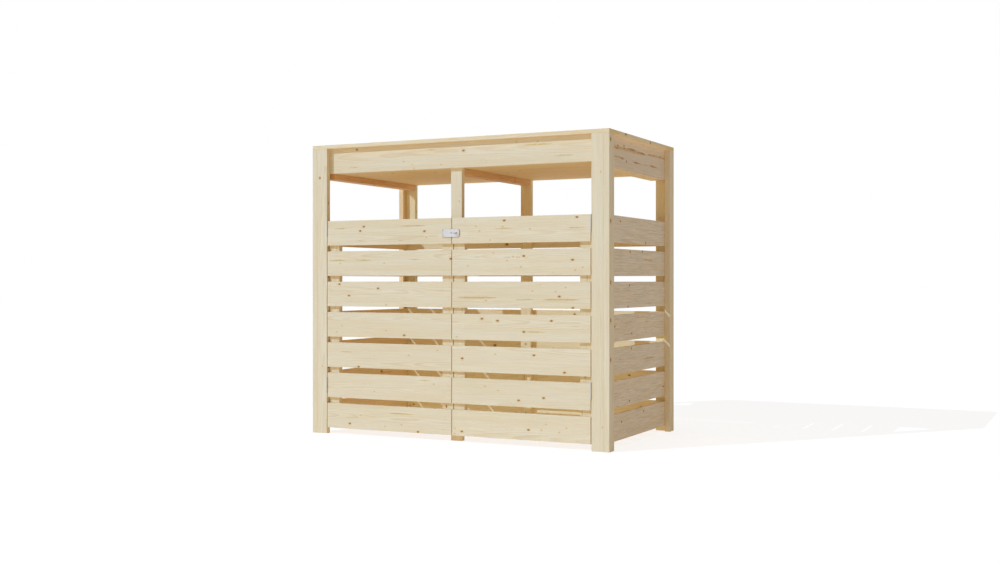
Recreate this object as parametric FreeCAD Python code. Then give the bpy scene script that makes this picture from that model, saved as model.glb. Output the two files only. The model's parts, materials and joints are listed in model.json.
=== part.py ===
import FreeCAD, Part
import os

os.makedirs("parts", exist_ok=True)

# Double wheelie bin store in planed softwood, with slatted doors and an open planter tray on top.
# Millimetres. X runs along the front, Y from the front to the back, Z up.
# The origin is the middle of the footprint on the ground, hasp included.

# Overall size of the timber carcass
height = 1400.0
width = 1554.0
depth = 863.0

# Timber sections
board_width = 119.0
board_thick = 18.0
batten_width = 57.0
batten_thick = 27.0

# Slats of the doors, sides and back: the same rows all round
slat_rows = 7
slat_gap = 28.0
slat_bottom = 30.0

# Top tray
side_fascia_height = 144.0
floor_rows = 7
floor_gap = 2.0

# Doors
door_gap = 3.4

# Butt hinges
hinge_height = 75.0
hinge_knuckles = 5
hinge_leaf_thick = 1.2
hinge_leaf_depth = 25.0
hinge_knuckle_radius = 2.4
hinge_axis_out = 2.6
hinge_pin_radius = 1.2
hinge_screw_inset = 12.0
knuckle_play = 0.3
leaf_setback = 0.4
upper_hinge_top = 1031.0
lower_hinge_top = {"left": 272.0, "right": 300.0}

# Hasp: a plate on the left door, a hinged strap over it and a staple on the right door
hasp_z = 961.0
hasp_height = 36.0
hasp_left = -48.5
hasp_right = 41.5
hasp_plate_right = -8.0
hasp_plate_thick = 1.8
hasp_strap_thick = 2.0
hasp_knuckle_radius = 3.2
hasp_knuckle_spans = {"plate": [(0.0, 0.25), (0.75, 1.0)], "strap": [(0.25, 0.75)]}
hasp_axis_out = 3.5
hasp_pin_radius = 1.5
hasp_screw_insets = (16.0, 8.0)
hasp_screw_rise = 11.0
strap_corner_radius = 11.0
strap_hole_radius = 3.0
slot_length = 19.0
slot_height = 9.0
staple_x = 22.0
staple_wire = 4.5
staple_span = 11.5
staple_reach = 20.0
staple_plate_width = 27.0
staple_plate_height = 30.0
staple_screw_rise = 10.0

# Running clearance of the pins in the knuckles that turn on them
pin_clearance = 0.05

# Wood screws: shank radius, head radius and head depth
wood_screw = {"shank": 2.0, "head": 4.0, "sink": 2.5}
small_screw = {"shank": 1.6, "head": 3.0, "sink": 1.3}
screw_hole_clearance = 0.1

# Point of a screw in shank radii, and its cross recess as shares of the head
screw_point_share = 3.0
recess_length_share = 1.1
recess_width_share = 0.2
recess_depth_share = 0.7

# Screw lengths
slat_screw_length = 38.0
corner_screw_length = 78.0
tray_screw_length = 72.0
toe_screw_length = 55.0
cap_screw_length = 44.0
hinge_screw_length = 20.0
hasp_screw_length = 16.0

# Screw places
corner_screw_heights = [100.0, 320.0, 540.0, 760.0, 900.0, 1120.0]
cap_screw_inset = 10.0
cap_screw_spread = 216.0
toe_screw_offset = 6.0

# Worked out from the sizes above
half_width = width / 2
front = staple_reach / 2 - depth / 2
back = front + depth
middle_y = (front + back) / 2
pitch = board_width + slat_gap
slat_top = slat_bottom + (slat_rows - 1) * pitch + board_width
carcass_top = height - board_thick
tray_z = carcass_top - board_width
tray_batten_z = tray_z - batten_thick
post_face = batten_width + batten_thick
board_in = batten_thick + board_thick
post_in = board_in + batten_thick
mid_half = batten_width / 2
sides = {"left": -1, "right": 1}
ends = {"front": (front, 1), "back": (back, -1)}

# Directions
RIGHT = FreeCAD.Vector(1, 0, 0)
BACK = FreeCAD.Vector(0, 1, 0)
UP = FreeCAD.Vector(0, 0, 1)


def block(x, y, z):
    """Box between pairs of coordinates, given in any order."""
    low = FreeCAD.Vector(min(x), min(y), min(z))
    return Part.makeBox(abs(x[1] - x[0]), abs(y[1] - y[0]), abs(z[1] - z[0]), low)


def save(node, solids):
    """Write one node, as a single solid or as a group of separate ones."""
    shape = solids[0] if len(solids) == 1 else Part.makeCompound(solids)
    shape.exportStep("parts/" + node + ".step")


def slat_z(row):
    """Lowest and highest Z of a slat; row 0 is the top one."""
    low = slat_top - board_width - row * pitch
    return low, low + board_width


def fascia_z(board_height):
    """Lowest and highest Z of a fascia, which hangs from the top of the posts."""
    return carcass_top - board_height, carcass_top


def door_edges(sx):
    """X of a door's edge beside the post and of its edge at the middle."""
    return sx * (half_width - post_face - door_gap), sx * door_gap / 2


def screw(head_at, direction, length, kind):
    """Countersunk screw whose flat head lies at head_at and whose point is along direction."""
    point_length = screw_point_share * kind["shank"]
    head = Part.makeCone(kind["head"], kind["shank"], kind["sink"])
    shank = Part.makeCylinder(kind["shank"], length - kind["sink"] - point_length, UP * kind["sink"])
    point = Part.makeCone(kind["shank"], 0.0, point_length, UP * (length - point_length))
    solid = head.fuse([shank, point])
    long_half = kind["head"] * recess_length_share / 2
    short_half = kind["head"] * recess_width_share / 2
    recess_z = (0, kind["sink"] * recess_depth_share)
    for half_x, half_y in ((long_half, short_half), (short_half, long_half)):
        solid = solid.cut(block((-half_x, half_x), (-half_y, half_y), recess_z))
    solid.Placement = FreeCAD.Placement(head_at, FreeCAD.Rotation(UP, direction))
    return solid


def screw_hole(head_at, direction, kind, plate_thick):
    """Countersunk hole for a screw, through a plate."""
    clear = screw_hole_clearance
    sink = Part.makeCone(kind["head"] + clear, kind["shank"] + clear, kind["sink"])
    bore = Part.makeCylinder(kind["shank"] + clear, plate_thick * 2)
    hole = sink.fuse(bore)
    hole.Placement = FreeCAD.Placement(head_at, FreeCAD.Rotation(UP, direction))
    return hole


def across_board(low, high):
    """Two screw heights across a board."""
    edge = board_width / 4
    return low + edge, high - edge


def corner_posts():
    """Four L-shaped corner posts, each a face batten and a side batten screwed together."""
    z = (0, carcass_top)
    for side, sx in sides.items():
        edge = sx * half_width
        joint = sx * (half_width - batten_thick)
        for end, (outer, inward) in ends.items():
            side_y = (outer, outer + inward * batten_width)
            face_y = (outer, outer + inward * batten_thick)
            save(end + "_" + side + "_post_side", [block((edge, joint), side_y, z)])
            save(end + "_" + side + "_post_face", [block((joint, edge - sx * post_face), face_y, z)])


def middle_posts():
    """Two posts at mid width, behind the front fascia and inside the back slats."""
    for end, (outer, inward) in ends.items():
        y = (outer + inward * board_in, outer + inward * post_in)
        save(end + "_middle_post", [block((-mid_half, mid_half), y, (0, carcass_top))])


def slats_and_fascias():
    """Boards on the inner faces of the posts: slats below, one fascia above on each side."""
    inner_x = half_width - board_in
    rows = [slat_z(row) for row in range(slat_rows)]
    y = (front + batten_thick, back - batten_thick)
    for side, sx in sides.items():
        x = (sx * (half_width - batten_thick), sx * inner_x)
        save(side + "_side_slats", [block(x, y, z) for z in rows])
        save(side + "_fascia", [block(x, y, fascia_z(side_fascia_height))])
    x = (-inner_x, inner_x)
    for end, (outer, inward) in ends.items():
        y = (outer + inward * batten_thick, outer + inward * board_in)
        save(end + "_fascia", [block(x, y, fascia_z(board_width))])
    save("back_slats", [block(x, (back - board_in, back - batten_thick), z) for z in rows])


def floor_board_spans():
    """Lowest and highest Y of each floor board of the tray."""
    run = depth - 2 * board_in
    each = (run - (floor_rows - 1) * floor_gap) / floor_rows
    starts = [front + board_in + i * (each + floor_gap) for i in range(floor_rows)]
    return [(start, start + each) for start in starts]


def tray():
    """Three battens from front to back carry the floor boards of the planter tray."""
    z = (tray_batten_z, tray_z)
    inner_x = half_width - board_in
    for side, sx in sides.items():
        x = (sx * inner_x, sx * (inner_x - batten_width))
        save(side + "_tray_batten", [block(x, (front + board_in, back - board_in), z)])
    middle = block((-mid_half, mid_half), (front + post_in, back - post_in), z)
    save("middle_tray_batten", [middle])
    boards = []
    for span in floor_board_spans():
        board = block((-inner_x, inner_x), span, (tray_z, tray_z + board_thick))
        for outer, inward in ends.values():
            notch_y = (outer + inward * board_in, outer + inward * post_in)
            board = board.cut(block((-mid_half, mid_half), notch_y, (tray_z, carcass_top)))
        boards.append(board)
    save("tray_floor_boards", boards)


def caps():
    """Flat boards on top of the posts and fascias: two long ones, two short ones between them."""
    z = (carcass_top, height)
    for end, (outer, inward) in ends.items():
        y = (outer, outer + inward * board_width)
        save(end + "_cap", [block((-half_width, half_width), y, z)])
    for side, sx in sides.items():
        x = (sx * half_width, sx * (half_width - board_width))
        save(side + "_cap", [block(x, (front + board_width, back - board_width), z)])


def doors():
    """Two doors, each of slats on two stiles; the slats are flush with the post faces."""
    slat_y = (front, front + board_thick)
    stile_y = (front + board_thick, front + board_in)
    stile_z = (slat_bottom, slat_top)
    for side, sx in sides.items():
        hinge_edge, free_edge = door_edges(sx)
        for row in range(slat_rows):
            slat = block((hinge_edge, free_edge), slat_y, slat_z(row))
            save(side + "_door_slat_" + str(row + 1), [slat])
        hinge_stile_x = (hinge_edge, hinge_edge - sx * batten_width)
        meeting_stile_x = (free_edge, free_edge + sx * batten_width)
        save(side + "_door_hinge_stile", [block(hinge_stile_x, stile_y, stile_z)])
        save(side + "_door_meeting_stile", [block(meeting_stile_x, stile_y, stile_z)])


def hinge_screw_points(x, low):
    """Heads of the three screws of one hinge leaf."""
    y = front + hinge_leaf_depth / 2
    rises = (hinge_screw_inset, hinge_height / 2, hinge_height - hinge_screw_inset)
    return [FreeCAD.Vector(x, y, low + rise) for rise in rises]


def hinge_leaf(wall_x, into, axis, low, own, bore_radius):
    """One hinge leaf: a plate against a wall, its knuckles round the axis and the screw holes."""
    face_x = wall_x + into * hinge_leaf_thick
    x = (wall_x, face_x)
    plate_y = (front + leaf_setback, front + hinge_leaf_depth)
    leaf = block(x, plate_y, (low, low + hinge_height))
    segment = hinge_height / hinge_knuckles
    for i in own:
        z0 = low + i * segment + (knuckle_play / 2 if i > 0 else 0)
        z1 = low + (i + 1) * segment - (knuckle_play / 2 if i < hinge_knuckles - 1 else 0)
        link = block(x, (axis.y, front + leaf_setback), (z0, z1))
        knuckle = Part.makeCylinder(hinge_knuckle_radius, z1 - z0, axis + UP * z0)
        leaf = leaf.fuse([link, knuckle])
    leaf = leaf.cut(Part.makeCylinder(bore_radius, hinge_height, axis + UP * low))
    for at in hinge_screw_points(face_x, low):
        leaf = leaf.cut(screw_hole(at, RIGHT * -into, small_screw, hinge_leaf_thick))
    return leaf.removeSplitter()


def hinge_bottoms(side):
    """Lowest Z of the upper and of the lower hinge of a door."""
    return [upper_hinge_top - hinge_height, lower_hinge_top[side] - hinge_height]


def hinges():
    """Two butt hinges per door; their knuckles stand in front of the gap beside the post."""
    post_screws = []
    for side, sx in sides.items():
        post_x = sx * (half_width - post_face)
        door_x = door_edges(sx)[0]
        axis = FreeCAD.Vector((post_x + door_x) / 2, front - hinge_axis_out, 0)
        post_leaves = []
        door_leaves = []
        pins = []
        for low in hinge_bottoms(side):
            post_leaves.append(hinge_leaf(post_x, -sx, axis, low, (0, 2, 4), hinge_pin_radius))
            door_leaves.append(hinge_leaf(door_x, sx, axis, low, (1, 3), hinge_pin_radius + pin_clearance))
            pins.append(Part.makeCylinder(hinge_pin_radius, hinge_height, axis + UP * low))
            for at in hinge_screw_points(post_x - sx * hinge_leaf_thick, low):
                post_screws.append(screw(at, RIGHT * sx, hinge_screw_length, small_screw))
        save(side + "_hinge_post_leaves", post_leaves)
        save(side + "_hinge_door_leaves", door_leaves)
        save(side + "_hinge_pins", pins)
    save("post_hinge_screws", post_screws)


def hasp_axis():
    """Foot of the hasp's hinge axis, at the height of its lower edge."""
    low = hasp_z - hasp_height / 2
    return FreeCAD.Vector(hasp_left + hasp_knuckle_radius, front - hasp_axis_out, low)


def hasp_leaf(part, x_end, y, bore_radius, corner_radius=0.0):
    """Flat of the hasp's plate or strap, with its own knuckles and the bore of the pin."""
    axis = hasp_axis()
    start = axis.x + hasp_knuckle_radius + leaf_setback
    leaf = block((start, x_end), y, (axis.z, axis.z + hasp_height))
    if corner_radius:
        free_edges = [edge for edge in leaf.Edges
                      if edge.BoundBox.XLength < 0.01 and edge.BoundBox.YLength > 0.01
                      and edge.BoundBox.XMax > x_end - 0.01]
        leaf = leaf.makeFillet(corner_radius, free_edges)
    for low_share, high_share in hasp_knuckle_spans[part]:
        z0 = low_share * hasp_height + (knuckle_play / 2 if low_share > 0 else 0)
        z1 = high_share * hasp_height - (knuckle_play / 2 if high_share < 1 else 0)
        link = block((axis.x, start), y, (axis.z + z0, axis.z + z1))
        knuckle = Part.makeCylinder(hasp_knuckle_radius, z1 - z0, axis + UP * z0)
        leaf = leaf.fuse([link, knuckle])
    return leaf.cut(Part.makeCylinder(bore_radius, hasp_height, axis))


def hasp_screw_points():
    """Heads of the four screws of the hasp plate."""
    left_inset, right_inset = hasp_screw_insets
    return [FreeCAD.Vector(x, front - hasp_plate_thick, hasp_z + rise)
            for x in (hasp_left + left_inset, hasp_plate_right - right_inset)
            for rise in (-hasp_screw_rise, hasp_screw_rise)]


def hasp_plate():
    """Plate on the left door, under the strap."""
    plate = hasp_leaf("plate", hasp_plate_right, (front - hasp_plate_thick, front), hasp_pin_radius)
    for at in hasp_screw_points():
        plate = plate.cut(screw_hole(at, BACK, small_screw, hasp_plate_thick))
    return plate.removeSplitter()


def hasp_strap():
    """Hinged strap with a slot that drops over the staple; its free corners are rounded."""
    outer_y = front - hasp_axis_out - hasp_strap_thick / 2
    inner_y = outer_y + hasp_strap_thick
    strap = hasp_leaf("strap", hasp_right, (outer_y, inner_y),
                      hasp_pin_radius + pin_clearance, strap_corner_radius)
    straight_half = (slot_length - slot_height) / 2
    slot_z = (hasp_z - slot_height / 2, hasp_z + slot_height / 2)
    strap = strap.cut(block((staple_x - straight_half, staple_x + straight_half), (outer_y, inner_y), slot_z))
    rounds = [(staple_x - straight_half, slot_height / 2), (staple_x + straight_half, slot_height / 2),
              (0.0, strap_hole_radius)]
    for x, radius in rounds:
        at = FreeCAD.Vector(x, outer_y, hasp_z)
        strap = strap.cut(Part.makeCylinder(radius, hasp_strap_thick, at, BACK))
    return strap.removeSplitter()


def staple_screw_points():
    """Heads of the two screws of the staple plate, above and below the loop."""
    return [FreeCAD.Vector(staple_x, front - hasp_plate_thick, hasp_z + rise)
            for rise in (-staple_screw_rise, staple_screw_rise)]


def staple():
    """Wire loop on a small plate, on the right door."""
    plate = block((staple_x - staple_plate_width / 2, staple_x + staple_plate_width / 2),
                  (front - hasp_plate_thick, front),
                  (hasp_z - staple_plate_height / 2, hasp_z + staple_plate_height / 2))
    wire = staple_wire / 2
    bend = staple_span / 2
    arch_y = front - staple_reach + bend + wire
    leg_end = FreeCAD.Vector(staple_x + bend, arch_y, hasp_z)
    section = Part.Face(Part.Wire(Part.makeCircle(wire, leg_end, BACK)))
    loop = [section.revolve(FreeCAD.Vector(staple_x, arch_y, hasp_z), -UP, 180)]
    for x in (staple_x - bend, staple_x + bend):
        loop.append(Part.makeCylinder(wire, front - arch_y, FreeCAD.Vector(x, arch_y, hasp_z), BACK))
    shape = plate.fuse(loop)
    for at in staple_screw_points():
        shape = shape.cut(screw_hole(at, BACK, small_screw, hasp_plate_thick))
    return shape.removeSplitter()


def hasp():
    """The four pieces of the hasp."""
    save("hasp_plate", [hasp_plate()])
    save("hasp_strap", [hasp_strap()])
    save("hasp_pin", [Part.makeCylinder(hasp_pin_radius, hasp_height, hasp_axis())])
    save("hasp_staple", [staple()])


def door_screws():
    """Screws through the stiles into the slats of each door."""
    for side, sx in sides.items():
        hinge_edge, free_edge = door_edges(sx)
        found = []
        for x in (hinge_edge - sx * mid_half, free_edge + sx * mid_half):
            for row in range(slat_rows):
                for z in across_board(*slat_z(row)):
                    head_at = FreeCAD.Vector(x, front + board_in, z)
                    found.append(screw(head_at, -BACK, slat_screw_length, wood_screw))
        save(side + "_door_screws", found)


def door_hardware_screws():
    """Screws of the hinges and of the hasp in each door."""
    hasp_points = {"left": hasp_screw_points(), "right": staple_screw_points()}
    for side, sx in sides.items():
        leaf_x = door_edges(sx)[0] + sx * hinge_leaf_thick
        found = [screw(at, RIGHT * -sx, hinge_screw_length, small_screw)
                 for low in hinge_bottoms(side) for at in hinge_screw_points(leaf_x, low)]
        found += [screw(at, BACK, hasp_screw_length, small_screw) for at in hasp_points[side]]
        save(side + "_door_hardware_screws", found)


def frame_screw(x, y, z, direction, length):
    """Wood screw of the carcass, with its head at a point."""
    return screw(FreeCAD.Vector(x, y, z), direction, length, wood_screw)


def corner_screws():
    """Face batten to side batten in each corner post, driven from the edge that the door hides."""
    return [frame_screw(sx * (half_width - post_face), outer + inward * batten_thick / 2, z, RIGHT * sx,
                        corner_screw_length)
            for sx in sides.values() for outer, inward in ends.values() for z in corner_screw_heights]


def board_screws():
    """Slats and fascias to the posts, driven from the inside."""
    slat_spans = [slat_z(row) for row in range(slat_rows)]
    side_overlap = (batten_thick + batten_width) / 2
    face_overlap = (board_in + post_face) / 2
    found = []
    for end, (outer, inward) in ends.items():
        outward = BACK * -inward
        across_spans = [fascia_z(board_width)] + (slat_spans if end == "back" else [])
        across_zs = [z for span in across_spans for z in across_board(*span)]
        side_zs = [z for span in slat_spans + [fascia_z(side_fascia_height)] for z in across_board(*span)]
        for sx in sides.values():
            x = sx * (half_width - board_in)
            y = outer + inward * side_overlap
            found += [frame_screw(x, y, z, RIGHT * sx, slat_screw_length) for z in side_zs]
            x = sx * (half_width - face_overlap)
            y = outer + inward * board_in
            found += [frame_screw(x, y, z, outward, slat_screw_length) for z in across_zs]
        y = outer + inward * post_in
        found += [frame_screw(0, y, z, outward, slat_screw_length) for z in across_zs]
    return found


def tray_screws():
    """Floor boards down into the battens, and the battens to the fascias and middle posts."""
    inner_x = half_width - board_in
    batten_x = inner_x - mid_half
    z = tray_z - batten_thick / 2
    spans = floor_board_spans()
    found = []
    for low, high in spans:
        for x in (-batten_x, 0, batten_x):
            found.append(frame_screw(x, (low + high) / 2, tray_z + board_thick, -UP, slat_screw_length))
    for sx in sides.values():
        for low, high in (spans[0], spans[2], spans[3], spans[5]):
            found.append(frame_screw(sx * (inner_x - batten_width), high + floor_gap / 2, z, RIGHT * sx,
                                     tray_screw_length))
        for outer, inward in ends.values():
            toe = RIGHT * -sx + BACK * -inward
            found.append(frame_screw(sx * mid_half, outer + inward * (post_in + mid_half),
                                     z + sx * toe_screw_offset, toe, toe_screw_length))
    return found


def cap_screws():
    """Caps down into the posts and the top edges of the fascias."""
    found = []

    def drive(x, y):
        found.append(frame_screw(x, y, height, -UP, cap_screw_length))

    for outer, inward in ends.values():
        for sx in sides.values():
            drive(sx * (half_width - batten_thick / 2), outer + inward * (batten_width - batten_thick / 2))
            drive(sx * (half_width - post_face + cap_screw_inset), outer + inward * batten_thick / 2)
            drive(sx * half_width / 2, outer + inward * (batten_thick + board_thick / 2))
        drive(0, outer + inward * (board_in + batten_thick / 2))
    for sx in sides.values():
        for y in (middle_y - cap_screw_spread, middle_y, middle_y + cap_screw_spread):
            drive(sx * (half_width - batten_thick - board_thick / 2), y)
    return found


corner_posts()
middle_posts()
slats_and_fascias()
tray()
caps()
doors()
hinges()
hasp()
door_screws()
door_hardware_screws()
save("frame_screws", corner_screws() + board_screws() + tray_screws() + cap_screws())
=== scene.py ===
"""Looks of the wheelie bin store: planed spruce boards, zinc plated fittings, studio floor and light."""
import json
import math
import random

import bmesh
import bpy
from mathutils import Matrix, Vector


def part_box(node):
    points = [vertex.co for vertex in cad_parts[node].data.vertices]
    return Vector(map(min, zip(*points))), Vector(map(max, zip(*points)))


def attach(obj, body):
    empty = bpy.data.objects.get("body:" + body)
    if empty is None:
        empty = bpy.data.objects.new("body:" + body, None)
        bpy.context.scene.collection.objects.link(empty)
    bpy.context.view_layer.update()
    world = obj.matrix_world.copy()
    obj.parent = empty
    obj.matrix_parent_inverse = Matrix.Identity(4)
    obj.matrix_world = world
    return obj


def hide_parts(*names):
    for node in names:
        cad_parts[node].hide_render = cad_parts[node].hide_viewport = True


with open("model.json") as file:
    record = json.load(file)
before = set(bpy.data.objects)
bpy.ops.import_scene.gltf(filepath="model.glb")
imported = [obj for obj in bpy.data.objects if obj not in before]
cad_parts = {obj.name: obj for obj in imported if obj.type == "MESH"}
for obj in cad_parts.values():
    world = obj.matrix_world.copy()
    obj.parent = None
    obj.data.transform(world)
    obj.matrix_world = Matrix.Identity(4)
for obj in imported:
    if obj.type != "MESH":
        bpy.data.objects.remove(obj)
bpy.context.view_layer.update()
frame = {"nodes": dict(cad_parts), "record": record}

MM = 0.001
PER_METRE = 1000.0

# Knot radii, millimetres
BIG = 5.0
PLAIN = 3.5
FAINT = 2.0

# Knots by timber: along the grain, across it (millimetres, in the store's own frame), radius
KNOTS = {
    "left_door_slat_1": [(-500, 980, PLAIN), (-480, 1000, PLAIN), (-145, 972, PLAIN), (-135, 945, FAINT)],
    "left_door_slat_2": [(-615, 825, FAINT), (-365, 825, FAINT), (-5, 843, PLAIN)],
    "left_door_slat_3": [(-620, 725, PLAIN), (-565, 670, PLAIN), (-400, 705, PLAIN), (-355, 628, FAINT)],
    "left_door_slat_4": [(-605, 525, FAINT), (-255, 485, PLAIN), (-355, 505, FAINT), (-635, 495, FAINT)],
    "left_door_slat_5": [(-230, 392, FAINT), (-75, 420, FAINT), (-510, 330, PLAIN)],
    "left_door_slat_6": [(-420, 215, FAINT), (-95, 262, FAINT)],
    "left_door_slat_7": [(-560, 55, PLAIN), (-180, 36, PLAIN), (-270, 64, FAINT), (-360, 52, FAINT),
                         (-497, 98, FAINT)],
    "left_door_meeting_stile": [(160, -38, PLAIN)],
    "right_door_slat_1": [(270, 1013, PLAIN), (625, 1020, PLAIN), (262, 987, FAINT), (398, 973, FAINT),
                          (144, 968, FAINT), (126, 990, FAINT), (199, 925, FAINT)],
    "right_door_slat_2": [(368, 852, PLAIN), (604, 833, PLAIN), (284, 832, FAINT), (315, 849, FAINT),
                          (85, 809, FAINT), (216, 868, FAINT), (353, 804, FAINT), (652, 800, FAINT),
                          (617, 789, FAINT)],
    "right_door_slat_3": [(541, 672, PLAIN), (177, 653, FAINT), (410, 696, FAINT), (523, 694, FAINT),
                          (571, 712, FAINT), (606, 622, PLAIN)],
    "right_door_slat_4": [(157, 569, PLAIN), (236, 561, PLAIN), (503, 564, PLAIN), (368, 513, PLAIN),
                          (26, 485, FAINT)],
    "right_door_slat_5": [(55, 386, PLAIN), (418, 410, PLAIN), (225, 409, FAINT), (566, 338, PLAIN)],
    "right_door_slat_6": [(342, 206, PLAIN), (465, 222, PLAIN), (172, 263, FAINT), (239, 247, FAINT)],
    "right_door_slat_7": [(391, 77, PLAIN), (53, 51, PLAIN), (16, 62, FAINT), (14, 39, FAINT),
                          (477, 106, FAINT), (454, 79, FAINT), (541, 74, FAINT), (575, 95, FAINT)],
    "front_fascia": [(-537, 1373, PLAIN), (-273, 1304, FAINT), (-71, 1282, FAINT), (-217, 1270, FAINT),
                     (47, 1341, PLAIN), (319, 1367, FAINT), (423, 1363, FAINT)],
    "right_fascia": [(-250, 1343, PLAIN), (-175, 1348, PLAIN), (-143, 1281, PLAIN), (-80, 1367, FAINT),
                     (335, 1258, FAINT), (205, 1305, FAINT)],
    "right_side_slats": [(-220, 1007, PLAIN), (111, 919, PLAIN), (-20, 935, FAINT), (67, 879, PLAIN),
                         (-96, 873, PLAIN), (-104, 721, PLAIN), (-123, 624, PLAIN), (-75, 501, PLAIN),
                         (-288, 539, PLAIN), (-80, 432, PLAIN), (-106, 194, PLAIN), (361, 224, PLAIN),
                         (83, 130, PLAIN), (-206, 110, PLAIN)],
    "front_left_post_face": [(1242, -734, PLAIN), (326, -718, FAINT)],
    "front_right_post_face": [(1213, 737, FAINT), (108, 745, FAINT)],
    "front_right_post_side": [(1354, -406, BIG), (1000, -406, BIG), (734, -406, BIG), (570, -406, BIG),
                              (399, -406, BIG)],
    "back_right_post_side": [(645, 418, FAINT), (350, 398, FAINT), (1257, 400, FAINT)],
    "front_middle_post": [(1110, 15, FAINT)],
    "right_cap": [(250, 720, PLAIN), (-40, 700, FAINT)],
}

# Golden resin streaks by timber: from, to along the grain, and across it (millimetres)
STREAKS = {
    "left_door_slat_1": [(-646, -576, 992), (-524, -468, 932), (-278, -142, 998), (-290, -256, 931)],
    "left_door_slat_2": [(-675, -588, 840), (-530, -439, 840), (-234, -174, 842)],
    "left_door_slat_5": [(-617, -547, 399)],
    "left_door_slat_6": [(-174, -110, 277)],
    "left_door_slat_7": [(-333, -207, 116)],
    "right_door_slat_1": [(583, 663, 974), (224, 309, 977)],
    "right_door_slat_2": [(116, 152, 849)],
    "right_door_slat_3": [(28, 229, 665), (329, 418, 657), (467, 635, 658), (425, 455, 723)],
    "right_door_slat_4": [(374, 472, 513), (602, 630, 542)],
    "front_fascia": [(-575, -520, 1290), (-240, -218, 1290), (-158, -98, 1352), (356, 494, 1350),
                     (508, 595, 1296)],
    "right_fascia": [(-330, 110, 1335), (140, 390, 1340), (-330, -170, 1293), (-60, 60, 1286),
                     (70, 140, 1287), (160, 290, 1287)],
    "right_side_slats": [(74, 213, 840), (-298, -249, 550), (-187, -111, 550), (101, 157, 550),
                         (87, 242, 376)],
}

# Dark resin pockets by timber: from, to along the grain, and across it (millimetres)
POCKETS = {
    "right_fascia": [(-292, -230, 1331), (-182, -158, 1338), (-130, -15, 1342), (0, 100, 1336),
                     (150, 180, 1339), (210, 240, 1341), (300, 330, 1344), (350, 378, 1343),
                     (-225, -170, 1289), (-60, 20, 1286), (165, 255, 1288)],
}

# Knots that end in the narrow edge of a board: along the grain, through the thickness, radius
EDGE_KNOTS = {
    "right_cap": [(-222, 1395, BIG), (100, 1388, PLAIN)],
}

# Looks of timber: tint, how many marks of each kind one board can carry, and how strong its figure is.
# Several tints hold painted light and shade, as noted at each.
PLAIN_MARKS = {"knot": 9, "streak": 4, "pocket": 0, "edge": 0}
FASCIA_MARKS = {"knot": 7, "streak": 6, "pocket": 11, "edge": 0}
CAP_MARKS = {"knot": 4, "streak": 2, "pocket": 0, "edge": 2}
LOOKS = {
    "post_timber": ((1.0, 1.0, 1.0), PLAIN_MARKS, 1.0),
    # bluer tint: painted shade colour of the shaded side's slats; the streaks are the wood's own
    "slat_board": ((0.99, 0.98, 1.07), PLAIN_MARKS, 4.4),
    "door_board": ((1.0, 1.0, 1.0), PLAIN_MARKS, 1.2),
    "door_timber": ((1.0, 0.99, 0.96), PLAIN_MARKS, 1.0),
    "fascia_board": ((1.0, 1.0, 1.0), FASCIA_MARKS, 1.4),
    # warmer tint: painted light that makes up for the blue lamps on the tops
    "cap_board": ((1.04, 1.0, 0.92), CAP_MARKS, 1.0),
    # darker, more orange tint: painted shade and bounce light on the tray, seen from below
    "tray_timber": ((0.99, 0.88, 0.64), PLAIN_MARKS, 1.6),
    # paler tint: painted light, so that the sun patches on the timbers seen inside come out brighter
    "golden": ((1.05, 1.08, 0.98), PLAIN_MARKS, 1.6),
    # pinker tint: painted shade colour of the shaded side's fascia; its marks are the wood's own
    "rosy": ((0.985, 0.95, 1.02), FASCIA_MARKS, 2.6),
    # darker, warmer tint: painted shade on the timbers seen inside the store
    "honey": ((1.00, 0.90, 0.76), PLAIN_MARKS, 2.0),
    # dark orange tint: painted shade on the battens under the tray
    "amber": ((0.89, 0.64, 0.43), PLAIN_MARKS, 3.2),
}

# Timbers whose tint holds painted light and shade: the same spruce as the rest of their slot, made paler for
# the painted light on the timbers seen inside, and tinted for the painted shade inside the store and on the
# shaded side
PAINTED_LIGHT_LOOKS = {
    "back_slats": "golden",
    "back_left_post_face": "golden",
    "back_middle_post": "golden",
    "back_right_post_face": "golden",
    "back_fascia": "golden",
    "left_fascia": "golden",
    "right_fascia": "rosy",
    "left_side_slats": "honey",
    "back_left_post_side": "honey",
    "left_tray_batten": "amber",
    "middle_tray_batten": "amber",
}

# Spruce, linear colours
EARLY_WOOD = (0.890, 0.710, 0.400, 1.0)
LATE_WOOD = (0.730, 0.490, 0.205, 1.0)
GOLDEN_WOOD = (0.850, 0.600, 0.215, 1.0)
PALE_WOOD = (0.915, 0.760, 0.470, 1.0)
RESIN_STREAK = (0.700, 0.450, 0.105, 1.0)
FLECK_BROWN = (0.600, 0.320, 0.080, 1.0)
POCKET_BROWN = (0.500, 0.200, 0.040, 1.0)
KNOT_HALO = (0.760, 0.450, 0.090, 1.0)
KNOT_CORE = (0.420, 0.165, 0.022, 1.0)
KNOT_RIM = (0.210, 0.075, 0.012, 1.0)


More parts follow.
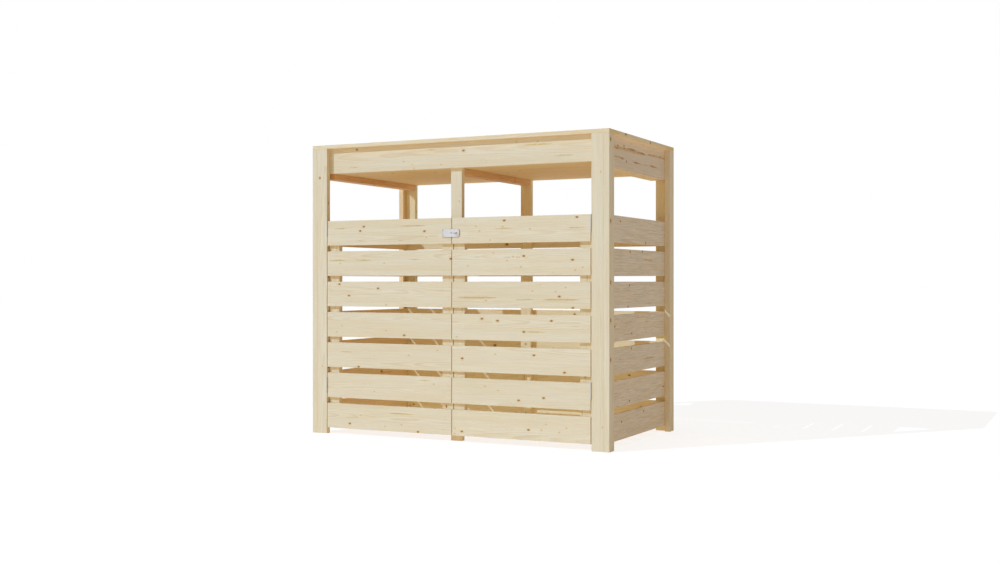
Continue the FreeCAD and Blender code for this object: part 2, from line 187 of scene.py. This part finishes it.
class Graph:
    """Node tree of a material or world, with short calls for the nodes that are used here."""

    FACTOR, FIRST, SECOND = 0, 6, 7
    COLOUR_OUT = 2

    def __init__(self, owner):
        owner.use_nodes = True
        self.owner = owner
        self.tree = owner.node_tree
        self.tree.nodes.clear()

    def put(self, socket, value):
        if isinstance(value, bpy.types.NodeSocket):
            self.tree.links.new(value, socket)
        else:
            socket.default_value = value

    def add(self, kind, inputs, **settings):
        node = self.tree.nodes.new(kind)
        for key, value in settings.items():
            setattr(node, key, value)
        for key, value in inputs.items():
            self.put(node.inputs[key], value)
        return node

    def math(self, operation, *values):
        return self.add("ShaderNodeMath", dict(enumerate(values)), operation=operation).outputs[0]

    def vector(self, operation, *values):
        node = self.add("ShaderNodeVectorMath", dict(enumerate(values)), operation=operation)
        return node.outputs["Value" if operation == "LENGTH" else "Vector"]

    def attribute(self, name, output):
        return self.add("ShaderNodeAttribute", {}, attribute_name=name).outputs[output]

    def split(self, vector):
        return self.add("ShaderNodeSeparateXYZ", {0: vector}).outputs

    def join(self, x, y, z):
        return self.add("ShaderNodeCombineXYZ", {0: x, 1: y, 2: z}).outputs[0]

    def grey(self, value):
        return self.join(value, value, value)

    def step(self, value, low, high, start=0.0, end=1.0):
        """Smooth change from start to end while value goes from low to high."""
        node = self.add("ShaderNodeMapRange", {0: value, 1: low, 2: high, 3: start, 4: end},
                        interpolation_type="SMOOTHSTEP")
        return node.outputs[0]

    def mix(self, factor, first, second, mode="MIX"):
        node = self.add("ShaderNodeMix", {self.FACTOR: factor, self.FIRST: first, self.SECOND: second},
                        data_type="RGBA", blend_type=mode)
        return node.outputs[self.COLOUR_OUT]

    def noise(self, vector, detail=2.0, roughness=0.5):
        inputs = {"Vector": vector, "Scale": 1.0, "Detail": detail, "Roughness": roughness}
        return self.add("ShaderNodeTexNoise", inputs).outputs[0]

    def chance(self, **inputs):
        """A number from 0 to 1 that is the same wherever its inputs are the same."""
        return self.add("ShaderNodeTexWhiteNoise", inputs,
                        noise_dimensions="1D" if "W" in inputs else "3D").outputs[0]

    def principled(self, **inputs):
        """The finished material with this surface; a keyword's _ stands for a space."""
        named = {key.replace("_", " "): value for key, value in inputs.items()}
        surface = self.add("ShaderNodeBsdfPrincipled", named)
        self.add("ShaderNodeOutputMaterial", {"Surface": surface.outputs[0]})
        return self.owner


# How far the noises of one board lie from those of the next, along each axis
SEED_SPREAD = (17.3, 7.1, 3.7)


def grain_space(graph):
    """Grain coordinates in millimetres, their parts, the board's seed and its own noise offset."""
    grain = graph.vector("MULTIPLY", graph.attribute("grain", "Vector"), (PER_METRE,) * 3)
    seed = graph.attribute("seed", "Fac")
    offset = graph.join(*[graph.math("MULTIPLY", seed, spread) for spread in SEED_SPREAD])
    return grain, graph.split(grain), seed, offset


def stretched(graph, grain, offset, along, across, detail=2.0, roughness=0.5):
    """Noise whose blobs are so many millimetres long and wide, lying along the grain."""
    scaled = graph.vector("MULTIPLY", grain, (1 / along, 1 / across, 1 / across))
    return graph.noise(graph.vector("ADD", scaled, offset), detail, roughness)


def shifted(graph, grain, aside):
    """Grain coordinates moved aside, so that one noise doesn't repeat another."""
    return graph.vector("ADD", grain, (aside, aside / 2, 0.0))


def wandering(graph, grain, offset, part, along, across, reach):
    """One grain coordinate that wanders over blobs this long and wide, within reach millimetres in all."""
    noise = stretched(graph, grain, offset, along, across)
    return graph.math("ADD", part, graph.math("MULTIPLY", graph.math("SUBTRACT", noise, 0.5), reach))


def marks(graph, name, count):
    """The board's marks of one kind, each a vector in millimetres."""
    return [graph.vector("MULTIPLY", graph.attribute(f"{name}_{index + 1}", "Vector"), (PER_METRE,) * 3)
            for index in range(count)]


# Knots are longer than wide, and their outline is ragged within this range
KNOT_STRETCH = 1.6
KNOT_WOBBLE = (0.11, 0.16, 0.0)
RAGGED_SPAN, RAGGED_LEAST = 0.5, 0.75

# Distances in knot radii: with no knot at all, and added to a knot that is not to show
NO_KNOT = 99.0
HIDDEN = 9.0

# Edge knots show only this near to a cap's edge, millimetres from its middle
EDGE_START, EDGE_FULL = 51.0, 56.0


def knot_distance(graph, grain, offset, counts):
    """Distance to the nearest knot in knot radii: to any knot, and to the nearest one with a dark core."""
    wobble = graph.noise(graph.vector("ADD", graph.vector("MULTIPLY", grain, KNOT_WOBBLE), offset))
    ragged = graph.math("MULTIPLY_ADD", wobble, RAGGED_SPAN, RAGGED_LEAST)
    along, across, through = graph.split(grain)
    edge_grain = graph.join(along, through, across)
    inside = graph.step(graph.math("ABSOLUTE", across), EDGE_START, EDGE_FULL, HIDDEN, 0.0)
    nearest, nearest_core = NO_KNOT, NO_KNOT
    places = [(knot, grain, 0.0) for knot in marks(graph, "knot", counts["knot"])]
    places += [(knot, edge_grain, inside) for knot in marks(graph, "edge", counts["edge"])]
    for knot, place, hidden in places:
        gap = graph.vector("SUBTRACT", place, knot)
        flat = graph.vector("MULTIPLY", gap, (1 / KNOT_STRETCH, 1.0, 0.0))
        radius = graph.split(knot)[2]
        reach = graph.math("ADD", graph.math("DIVIDE", graph.vector("LENGTH", flat), radius), hidden)
        pale = graph.step(radius, PLAIN, FAINT, 0.0, HIDDEN)
        nearest = graph.math("MINIMUM", reach, nearest)
        nearest_core = graph.math("MINIMUM", graph.math("ADD", reach, pale), nearest_core)
    return graph.math("MULTIPLY", nearest, ragged), graph.math("MULTIPLY", nearest_core, ragged)


# Lines along the grain, millimetres: how they wander, and where they pale in spots
LINE_WAVE = (30.0, 9.0)
LINE_SPOTS = (14.0, 3.0, 1.0)
SPOT_STEP = (0.30, 0.52, 0.45, 1.0)

# They are thinner towards their ends and when short, soft across, and fade out past their ends
POINT_STEP = (-8.0, 45.0, 0.3, 1.0)
LENGTH_STEP = (10.0, 220.0, 0.4, 1.0)
ACROSS_STEP = (0.1, 1.0, 1.0, 0.0)
END_STEP = (-8.0, 6.0)

# Half width of the widest streak and pocket, how far each wanders, and how strong both are
STREAK_SHAPE = (10.0, 5.0)
POCKET_SHAPE = (13.0, 11.0)
LINE_STRENGTH = 0.95


def line_marks(graph, grain, offset, lines, widest, wander):
    """How much of a pointed line along the grain lies here; a line is its middle, row and half length."""
    along, across, _ = graph.split(grain)
    across = wandering(graph, grain, offset, across, *LINE_WAVE, wander)
    spots = graph.step(stretched(graph, grain, offset, *LINE_SPOTS), *SPOT_STEP)
    total = 0.0
    for line in lines:
        middle, row, half = graph.split(line)
        aside = graph.math("ABSOLUTE", graph.math("SUBTRACT", across, row))
        away = graph.math("ABSOLUTE", graph.math("SUBTRACT", along, middle))
        from_end = graph.math("SUBTRACT", half, away)
        taper = graph.math("MULTIPLY", graph.step(from_end, *POINT_STEP), graph.step(half, *LENGTH_STEP))
        near = graph.math("DIVIDE", aside, graph.math("MULTIPLY", taper, widest))
        core = graph.math("MULTIPLY", graph.step(near, *ACROSS_STEP), graph.step(from_end, *END_STEP))
        total = graph.math("MAXIMUM", core, total)
    return graph.math("MULTIPLY", total, spots)


# Year rings, millimetres: their width, and how they wander across and through the board
RING_WIDTH = 2.9
RING_ACROSS = (260.0, 55.0, 22.0)
RING_DEPTH = (420.0, 70.0, 12.0)

# How far a knot pushes the rings aside, and how fast that falls off
KNOT_PUSH, KNOT_FALL = 7.0, -0.16


def ring_phase(graph, grain, parts, offset, knots):
    """Distance from the pith in ring widths; its fraction is how far into its year the wood lies."""
    pith = graph.vector("MULTIPLY", graph.attribute("pith", "Vector"), (PER_METRE, PER_METRE, 1.0))
    pith_across, pith_depth, pith_drift = graph.split(pith)
    drift = graph.math("MULTIPLY", pith_drift, parts[0])
    across = graph.math("SUBTRACT", wandering(graph, grain, offset, parts[1], *RING_ACROSS), pith_across)
    depth = graph.math("SUBTRACT", wandering(graph, grain, offset, parts[2], *RING_DEPTH),
                       graph.math("ADD", pith_depth, drift))
    radius = graph.vector("LENGTH", graph.join(across, depth, 0.0))
    bell = graph.math("EXPONENT", graph.math("MULTIPLY", graph.math("MULTIPLY", knots, knots), KNOT_FALL))
    return graph.math("DIVIDE", graph.math("MULTIPLY_ADD", bell, KNOT_PUSH, radius), RING_WIDTH)


# The dark line at a year's end rises, then falls; how much of it changes from year to year
LATE_RISE = (0.35, 0.88)
LATE_FALL = (0.93, 1.0, 1.0, 0.0)
YEAR_SPAN, YEAR_LEAST = 0.7, 0.3


def latewood(graph, phase, seed):
    """Dark line at the end of each year's ring, some years darker than others."""
    age = graph.math("FRACT", phase)
    line = graph.math("MULTIPLY", graph.step(age, *LATE_RISE), graph.step(age, *LATE_FALL))
    year = graph.chance(Vector=graph.join(graph.math("FLOOR", phase), seed, 0.0))
    return graph.math("MULTIPLY", line, graph.math("MULTIPLY_ADD", year, YEAR_SPAN, YEAR_LEAST))


# Noises of the figure: moved aside by, length and width in millimetres, detail, roughness
FIGURE = {
    "fibre": (0.0, 40.0, 0.9, 3.0, 0.65),
    "broad": (0.0, 480.0, 26.0, 3.0, 0.55),
    "warm": (0.0, 300.0, 6.5, 3.0, 0.60),
    "water": (211.0, 110.0, 3.4, 3.0, 0.65),
    "fleck": (311.0, 9.0, 0.8, 1.0, 0.50),
    "dash": (97.0, 26.0, 2.4, 1.0, 0.50),
    "busy": (53.0, 150.0, 30.0, 1.0, 0.50),
}

# Where each of them starts and is full, and its strength there
BROAD_STEP = (0.35, 0.68)
WARM_STEP = (0.56, 0.74, 0.0, 0.40)
DASH_STEP = (0.66, 0.76)
BUSY_STEP = (0.45, 0.62, 0.05)
BUSY_MOST = 0.30
FLECK_STEP = (0.70, 0.78, 1.0, 0.90)

# The same by knot radii, for the halo round a knot, its rim and its core
HALO_STEP = (0.6, 3.2, 1.0, 0.0)
HALO_POWER, HALO_STRENGTH = 1.6, 0.7
RIM_STEP = (0.55, 0.95)
CORE_STEP = (0.88, 1.14, 1.0, 0.0)

# Strength of the year rings on a face and on a sawn end, and how an end differs in tint and shade
FACE_RINGS, END_RINGS = 0.45, 0.8
END_TINT = (1.06, 0.97, 0.72)
END_SHADE = 0.94

# Shade of the fibres, the water marks and each board: how much it changes, and its least
FIBRE_SHADE = (0.16, 0.92)
WATER_SPAN = 0.20
BOARD_SHADE = (0.024, 0.988)

# Surface: how deep the year rings lie in the relief, its strength and height, gloss and roughness
RING_RELIEF = 0.35
RELIEF_STRENGTH = 0.25
RELIEF_HEIGHT = 0.25 * MM
WOOD_SPECULAR = 0.35
WOOD_ROUGHNESS = (0.16, 0.56)


def spruce(name, tint, counts, figure, end_grain):
    """Planed spruce. figure is how strong its streaks show; end_grain gives the darker sawn end."""
    graph = Graph(bpy.data.materials.new(name))
    grain, parts, seed, offset = grain_space(graph)
    knots, cores = knot_distance(graph, grain, offset, counts)
    late = latewood(graph, ring_phase(graph, grain, parts, offset, knots), seed)
    streaks = line_marks(graph, grain, offset, marks(graph, "streak", counts["streak"]), *STREAK_SHAPE)
    pockets = line_marks(graph, grain, offset, marks(graph, "pocket", counts["pocket"]), *POCKET_SHAPE)
    noise = {kind: stretched(graph, shifted(graph, grain, aside), offset, *size)
             for kind, (aside, *size) in FIGURE.items()}

    colour = graph.mix(graph.step(noise["broad"], *BROAD_STEP), PALE_WOOD, EARLY_WOOD)
    rings = graph.math("MULTIPLY", late, END_RINGS if end_grain else FACE_RINGS)
    colour = graph.mix(rings, colour, LATE_WOOD)
    colour = graph.mix(graph.step(noise["warm"], *WARM_STEP), colour, GOLDEN_WOOD)
    colour = graph.mix(graph.math("MULTIPLY", streaks, LINE_STRENGTH), colour, RESIN_STREAK)
    dashes = graph.math("MULTIPLY", graph.step(noise["dash"], *DASH_STEP),
                        graph.step(noise["busy"], *BUSY_STEP, BUSY_MOST * figure))
    colour = graph.mix(dashes, colour, FLECK_BROWN)
    halo = graph.math("POWER", graph.step(knots, *HALO_STEP), HALO_POWER)
    colour = graph.mix(graph.math("MULTIPLY", halo, HALO_STRENGTH), colour, KNOT_HALO)
    colour = graph.mix(graph.math("MULTIPLY", pockets, LINE_STRENGTH), colour, POCKET_BROWN)
    inner = graph.mix(graph.step(cores, *RIM_STEP), KNOT_CORE, KNOT_RIM)
    colour = graph.mix(graph.step(cores, *CORE_STEP), colour, inner)

    shade = graph.math("MULTIPLY_ADD", noise["fibre"], *FIBRE_SHADE)
    water = graph.math("MULTIPLY_ADD", noise["water"], WATER_SPAN * figure, 1.0 - WATER_SPAN / 2 * figure)
    shade = graph.math("MULTIPLY", shade, water)
    shade = graph.math("MULTIPLY", shade, graph.step(noise["fleck"], *FLECK_STEP))
    shade = graph.math("MULTIPLY", shade, graph.math("MULTIPLY_ADD", graph.chance(W=seed), *BOARD_SHADE))
    if end_grain:
        shade = graph.math("MULTIPLY", shade, END_SHADE)
        tint = [own * end for own, end in zip(tint, END_TINT)]
    colour = graph.mix(1.0, colour, graph.vector("MULTIPLY", graph.grey(shade), tint), "MULTIPLY")

    height = graph.math("SUBTRACT", noise["fibre"], graph.math("MULTIPLY", late, RING_RELIEF))
    relief = {"Height": height, "Strength": RELIEF_STRENGTH, "Distance": RELIEF_HEIGHT}
    normal = graph.add("ShaderNodeBump", relief).outputs["Normal"]
    rough = graph.math("MULTIPLY_ADD", noise["fibre"], *WOOD_ROUGHNESS)
    return graph.principled(Base_Color=colour, Roughness=rough, Specular_IOR_Level=WOOD_SPECULAR,
                            Normal=normal)


# Zinc finishes: colour and roughness
ZINCS = {
    "bright_zinc": ((0.655, 0.62, 0.56, 1.0), 0.32),
    "dull_zinc": ((0.62, 0.57, 0.48, 1.0), 0.40),
    "screw_zinc": ((0.60, 0.57, 0.50, 1.0), 0.38),
}

# Spangles to a metre, what one changes in shade and roughness, and the rolling marks
SPANGLES = 260.0
SPANGLE_SHADE = (0.08, 0.93)
SPANGLE_ROUGHNESS = 0.05
ROLLING = (180.0, 180.0, 2600.0)
ROLLING_NOISE = (3.0, 0.6)
ROLLING_ROUGHNESS = 0.12


def zinc(name, colour, roughness):
    """Zinc plate with a faint spangle and rolling marks."""
    graph = Graph(bpy.data.materials.new(name))
    place = graph.add("ShaderNodeNewGeometry", {}).outputs["Position"]
    cells = graph.add("ShaderNodeTexVoronoi", {"Vector": place, "Scale": SPANGLES})
    spangle = graph.split(cells.outputs["Color"])[0]
    rolled = graph.noise(graph.vector("MULTIPLY", place, ROLLING), *ROLLING_NOISE)
    shade = graph.grey(graph.math("MULTIPLY_ADD", spangle, *SPANGLE_SHADE))
    tint = graph.mix(1.0, colour, shade, "MULTIPLY")
    rough = graph.math("ADD", graph.math("MULTIPLY_ADD", rolled, ROLLING_ROUGHNESS, roughness),
                       graph.math("MULTIPLY", spangle, SPANGLE_ROUGHNESS))
    return graph.principled(Base_Color=tint, Metallic=1.0, Roughness=rough)


wood = {kind: spruce(f"spruce_{kind}", *look, False) for kind, look in LOOKS.items()}
wood_end = {kind: spruce(f"spruce_end_{kind}", *look, True) for kind, look in LOOKS.items()}
metal = {name: zinc(name, *look) for name, look in ZINCS.items()}

# Rounded arrises of planed timber
BOARD_ARRIS = 0.9 * MM
BATTEN_ARRIS = 1.1 * MM
BOARD_THICKNESS = 18 * MM
ARRIS_STEPS = 3
ROUND_PROFILE = 0.5
WELD_DISTANCE = 1e-6
FLAT_ANGLE = math.radians(1.0)


def rounded_timber(node):
    """The node's solids, welded, with every arris rounded."""
    bm = bmesh.new()
    bm.from_mesh(frame["nodes"][node].data)
    bmesh.ops.remove_doubles(bm, verts=bm.verts, dist=WELD_DISTANCE)
    bmesh.ops.dissolve_limit(bm, angle_limit=FLAT_ANGLE, verts=bm.verts, edges=bm.edges)
    low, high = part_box(node)
    thin = min(high[i] - low[i] for i in range(3))
    arris = BATTEN_ARRIS if thin > BOARD_THICKNESS + MM else BOARD_ARRIS
    bmesh.ops.bevel(bm, geom=list(bm.edges), offset=arris, segments=ARRIS_STEPS, profile=ROUND_PROFILE,
                    affect="EDGES", clamp_overlap=True)
    return bm


def lowest_corner(faces):
    """Height, depth and side of the faces' lowest corner, to a tenth of a millimetre."""
    corners = [vert.co for face in faces for vert in face.verts]
    return [round(min(corner[i] for corner in corners), 4) for i in (2, 1, 0)]


def islands(bm):
    """Lists of the faces that hang together, always in the same order."""
    left = set(bm.faces)
    found = []
    while left:
        group, edge = [], [left.pop()]
        while edge:
            face = edge.pop()
            group.append(face)
            near = {f for e in face.edges for f in e.link_faces if f in left}
            left -= near
            edge.extend(near)
        found.append(group)
    return sorted(found, key=lowest_corner)


def board_axes(low, high):
    """Axis numbers of a timber from its longest to its shortest side."""
    size = [high[i] - low[i] for i in range(3)]
    return sorted(range(3), key=lambda i: -size[i])


def own_marks(listed, centre, low, high, along_axis, cross_axis):
    """The listed marks whose place is on this board, relative to its centre, in metres."""
    chosen = []
    for first, second, third in listed:
        along, across = first * MM, second * MM
        if (low[along_axis] <= along <= high[along_axis]
                and low[cross_axis] - MM <= across <= high[cross_axis] + MM):
            chosen.append((along - centre[along_axis], across - centre[cross_axis], third * MM))
    return chosen


def as_lines(listed):
    """Lines given as from, to and row, turned to middle, row and half length."""
    return [((start + end) / 2, row, (end - start) / 2) for start, end, row in listed]


# Marks of a board that has none listed: room for one knot, in metres, and the knots' radii
KNOT_ROOM = 0.30
KNOT_RADII = (FAINT, FAINT, PLAIN, PLAIN, BIG)

# How far from its middle they may lie, in shares of its length and width, and a streak's half length
KNOT_PLACE = (0.48, 0.40)
STREAK_PLACE = (0.4, 0.45)
STREAK_HALF = (0.02, 0.07)
MOST_STREAKS = 2

# The pith: across in shares of the width, through the board and its drift along the grain in metres
PITH_ACROSS = 0.5
PITH_DEPTH = (0.012, 0.07)
PITH_DRIFT = (0.006, 0.022)
LAST_SEED = 60

# A mark that lies off the board
NOWHERE = (9.0, 9.0, 0.001)

# A face that looks this much along the grain is an end
END_FACE = 0.95


def random_knots(rng, length, width):
    """Knots of a board that has none listed, some of them faint."""
    far, aside = KNOT_PLACE
    return [(rng.uniform(-far, far) * length, rng.uniform(-aside, aside) * width, rng.choice(KNOT_RADII) * MM)
            for _ in range(int(length / KNOT_ROOM + rng.random()))]


def random_streaks(rng, length, width):
    """Up to two resin streaks of a board that has none listed."""
    far, aside = STREAK_PLACE
    return [(rng.uniform(-far, far) * length, rng.uniform(-aside, aside) * width, rng.uniform(*STREAK_HALF))
            for _ in range(rng.randint(0, MOST_STREAKS))]


def board_values(node, number, low, high, axes, counts):
    """Centre of one board and the constants that its shader reads."""
    rng = random.Random(f"{node} {number}")
    centre = [(low[i] + high[i]) / 2 for i in range(3)]
    along, across, through = axes
    length, width = high[along] - low[along], high[across] - low[across]
    board = (centre, low, high, along)
    found = {"knot": own_marks(KNOTS.get(node, []), *board, across),
             "streak": own_marks(as_lines(STREAKS.get(node, [])), *board, across),
             "pocket": own_marks(as_lines(POCKETS.get(node, [])), *board, across),
             "edge": own_marks(EDGE_KNOTS.get(node, []), *board, through)}
    if node not in KNOTS:
        found["knot"] = random_knots(rng, length, width)
        found["streak"] = random_streaks(rng, length, width)
    values = {"seed": rng.uniform(0, LAST_SEED),
              "pith": (rng.uniform(-PITH_ACROSS, PITH_ACROSS) * width,
                       rng.choice((-1, 1)) * rng.uniform(*PITH_DEPTH),
                       rng.uniform(*PITH_DRIFT) * rng.choice((-1, 1)))}
    for kind, count in counts.items():
        for index in range(count):
            values[f"{kind}_{index + 1}"] = found[kind][index] if index < len(found[kind]) else NOWHERE
    return centre, values


def grain_layers(bm, counts):
    """The mesh layers that carry grain coordinates and board constants to the shader."""
    names = ["grain", "pith"] + [f"{kind}_{index + 1}" for kind, count in counts.items()
                                 for index in range(count)]
    for name in names:
        bm.verts.layers.float_vector.new(name)
    bm.verts.layers.float.new("seed")
    layers = {name: bm.verts.layers.float_vector[name] for name in names}
    layers["seed"] = bm.verts.layers.float["seed"]
    return layers


def write_grain(bm, node, counts):
    """Grain coordinates and board constants on the mesh; end faces get the end grain material."""
    layers = grain_layers(bm, counts)
    for number, group in enumerate(islands(bm)):
        verts = {v for f in group for v in f.verts}
        low = [min(v.co[i] for v in verts) for i in range(3)]
        high = [max(v.co[i] for v in verts) for i in range(3)]
        axes = board_axes(low, high)
        centre, values = board_values(node, number, low, high, axes, counts)
        for vert in verts:
            vert[layers["grain"]] = Vector([vert.co[a] - centre[a] for a in axes])
            for key, value in values.items():
                vert[layers[key]] = value
        for face in group:
            face.material_index = int(abs(face.normal[axes[0]]) > END_FACE)


def timber(node, body, slot):
    """The dressed timber that stands for one node's solids."""
    # A timber listed with a painted light or shade look takes that tint; the rest take their slot's
    kind = PAINTED_LIGHT_LOOKS.get(node, slot)
    bm = rounded_timber(node)
    write_grain(bm, node, LOOKS[kind][1])
    mesh = bpy.data.meshes.new(f"{node}_timber")
    bm.to_mesh(mesh)
    bm.free()
    mesh.materials.append(wood[kind])
    mesh.materials.append(wood_end[kind])
    piece = bpy.data.objects.new(f"{node}_timber", mesh)
    bpy.context.scene.collection.objects.link(piece)
    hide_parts(node)
    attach(piece, body)


def metal_of(node):
    """Zinc finish of a fitting: screws have their own, the hasp's pieces are bright, the hinges' dull."""
    if "screws" in node:
        return metal["screw_zinc"]
    return metal["bright_zinc" if node.startswith("hasp") else "dull_zinc"]


slot_of = {part["node"]: part["material_slot"] for part in frame["record"]["subparts"]}
for body, nodes in frame["record"]["behaviour"]["bodies"].items():
    for node in nodes:
        if slot_of[node] in LOOKS:
            timber(node, body, slot_of[node])
        else:
            mesh = frame["nodes"][node].data
            mesh.materials.clear()
            mesh.materials.append(metal_of(node))

# Backdrop and ambient light
WHITE = (1.0, 1.0, 1.0, 1.0)
AMBIENT_COLOUR = (0.61, 0.715, 1.0, 1.0)
AMBIENT_STRENGTH = 0.213

# Lamps: the way the light travels, colour, strength, width in degrees, and whether metal mirrors it
LAMPS = {
    "key": ((0.533, 0.645, -0.547), (0.460, 0.632, 1.0), 2.50, 0.1, True),
    "fill": ((0.40, 0.90, -0.15), (0.88, 0.91, 1.0), 0.585, 70.0, False),
    "top": ((0.0, 0.0, -1.0), (1.0, 0.93, 0.88), 0.80, 30.0, False),
}

# Floor: half its side in metres, its colour and glow as the camera sees them, and as the store does
FLOOR_HALF = 30.0
SEEN_COLOUR = (0.380, 0.350, 0.290, 1.0)
SEEN_GLOW = (0.785, 0.785, 0.785, 1.0)
LIT_COLOUR = (0.38, 0.38, 0.38, 1.0)
LIT_GLOW = (0.525, 0.455, 0.375, 1.0)

# Camera: lens and sensor in millimetres, shift, place in metres, and turn about the vertical in degrees
LENS = 43.43
SENSOR_WIDTH = 36.0
SHIFT = 0.00105
CAMERA_PLACE = (2.6956, -5.2782, 0.7403)
CAMERA_TURN = 26.787


def studio_world():
    """White for what the camera and mirrors see, a soft blue ambient for what lights the timber."""
    graph = Graph(bpy.data.worlds.new("studio"))
    path = graph.add("ShaderNodeLightPath", {}).outputs
    seen = graph.math("MAXIMUM", path["Is Camera Ray"], path["Is Glossy Ray"])
    seen = graph.math("MAXIMUM", seen, path["Is Transmission Ray"])
    ambient = graph.add("ShaderNodeBackground", {"Color": AMBIENT_COLOUR, "Strength": AMBIENT_STRENGTH})
    white = graph.add("ShaderNodeBackground", {"Color": WHITE, "Strength": 1.0})
    both = graph.add("ShaderNodeMixShader", {0: seen, 1: ambient.outputs[0], 2: white.outputs[0]})
    graph.add("ShaderNodeOutputWorld", {"Surface": both.outputs[0]})
    bpy.context.scene.world = graph.owner


def studio_lamp(name, travel, colour, strength, width, mirrored):
    """A far lamp whose light travels along a direction. A great width makes it soft."""
    light = bpy.data.lights.new(name, "SUN")
    light.energy = strength
    light.color = colour
    light.angle = math.radians(width)
    lamp = bpy.data.objects.new(name, light)
    lamp.rotation_euler = Vector(travel).to_track_quat("-Z", "Y").to_euler()
    lamp.visible_glossy = mirrored
    bpy.context.scene.collection.objects.link(lamp)


def studio_floor():
    """Pale floor that fades into the white backdrop and keeps the store's shadow."""
    graph = Graph(bpy.data.materials.new("floor"))
    seen = graph.add("ShaderNodeLightPath", {}).outputs["Is Camera Ray"]
    matt = graph.add("ShaderNodeBsdfDiffuse", {"Color": graph.mix(seen, LIT_COLOUR, SEEN_COLOUR)})
    glow = graph.add("ShaderNodeEmission", {"Color": graph.mix(seen, LIT_GLOW, SEEN_GLOW)})
    both = graph.add("ShaderNodeAddShader", {0: matt.outputs[0], 1: glow.outputs[0]})
    graph.add("ShaderNodeOutputMaterial", {"Surface": both.outputs[0]})
    mesh = bpy.data.meshes.new("floor")
    corners = [(-FLOOR_HALF, -FLOOR_HALF, 0), (FLOOR_HALF, -FLOOR_HALF, 0),
               (FLOOR_HALF, FLOOR_HALF, 0), (-FLOOR_HALF, FLOOR_HALF, 0)]
    mesh.from_pydata(corners, [], [(0, 1, 2, 3)])
    mesh.materials.append(graph.owner)
    floor = bpy.data.objects.new("floor", mesh)
    bpy.context.scene.collection.objects.link(floor)


def studio_camera():
    """Level camera in front of the store and to its right."""
    data = bpy.data.cameras.new("camera")
    data.lens = LENS
    data.sensor_width = SENSOR_WIDTH
    data.shift_x = SHIFT
    camera = bpy.data.objects.new("camera", data)
    camera.location = CAMERA_PLACE
    camera.rotation_euler = (math.radians(90), 0.0, math.radians(CAMERA_TURN))
    bpy.context.scene.collection.objects.link(camera)
    bpy.context.scene.camera = camera


studio_world()
for name, lamp in LAMPS.items():
    studio_lamp(name, *lamp)
studio_floor()
studio_camera()
bpy.context.scene.view_settings.view_transform = "Standard"
